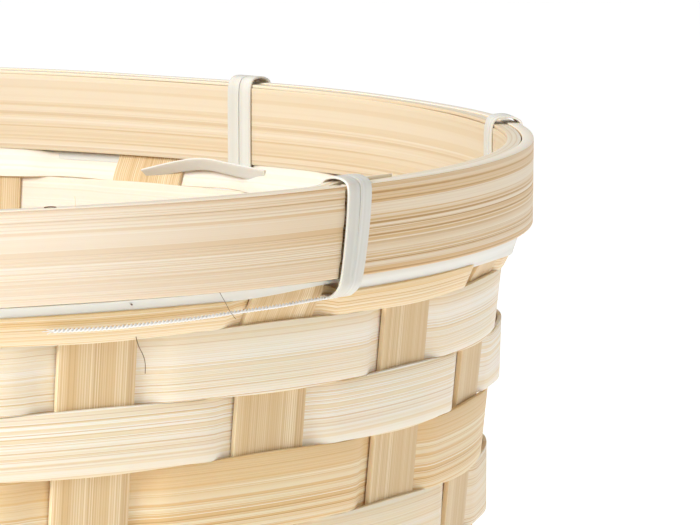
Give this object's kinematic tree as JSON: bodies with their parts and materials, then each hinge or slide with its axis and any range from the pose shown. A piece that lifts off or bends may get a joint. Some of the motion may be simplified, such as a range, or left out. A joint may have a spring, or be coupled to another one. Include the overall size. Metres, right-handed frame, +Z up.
{
  "type": "laundry basket",
  "caption": "Round tapered laundry basket of woven flat bamboo, with plaited base, ring weavers and a hooped rim lashed with white strip.",
  "frame": {"origin": "centre of the base's underside, on the basket's axis", "axes": "+Z up along the basket's axis, out of its mouth; the near side of the view faces -Y"},
  "size_m": [0.4008, 0.3999, 0.3408],
  "materials": {
    "bamboo_stake": "matt split bamboo",
    "bamboo_weaver": "matt split bamboo, paler",
    "bamboo_hoop": "matt split bamboo with straight grain",
    "white_lashing": "smooth off-white flat strip",
    "white_thread": "twisted thread"
  },
  "bodies": {
    "root": {"inner_hoop": "bamboo_hoop", "lashing": "white_lashing", "long_strip_across_1": "bamboo_stake", "long_strip_across_2": "bamboo_stake", "long_strip_across_3": "bamboo_stake", "long_strip_across_4": "bamboo_stake", "long_strip_across_5": "bamboo_stake", "long_strip_across_6": "bamboo_stake", "long_strip_along_1": "bamboo_stake", "long_strip_along_2": "bamboo_stake", "long_strip_along_3": "bamboo_stake", "long_strip_along_4": "bamboo_stake", "long_strip_along_5": "bamboo_stake", "long_strip_along_6": "bamboo_stake", "long_strip_along_7": "bamboo_stake", "outer_hoop": "bamboo_hoop", "rim_splint": "bamboo_hoop", "thread": "white_thread", "weaver_01": "bamboo_weaver", "weaver_02": "bamboo_weaver", "weaver_03": "bamboo_weaver", "weaver_04": "bamboo_weaver", "weaver_05": "bamboo_weaver", "weaver_06": "bamboo_weaver", "weaver_07": "bamboo_weaver", "weaver_08": "bamboo_weaver", "weaver_09": "bamboo_weaver", "weaver_10": "bamboo_weaver", "weaver_11": "bamboo_weaver", "weaver_12": "bamboo_weaver", "weaver_13": "bamboo_weaver", "weaver_14": "bamboo_weaver", "weaver_15": "bamboo_weaver", "weaver_16": "bamboo_weaver", "weaver_17": "bamboo_weaver", "weaver_18": "bamboo_weaver", "weaver_19": "bamboo_weaver", "weaver_20": "bamboo_weaver", "weaver_21": "bamboo_weaver", "weaver_22": "bamboo_weaver", "weaver_23": "bamboo_weaver"}
  },
  "joints": []
}
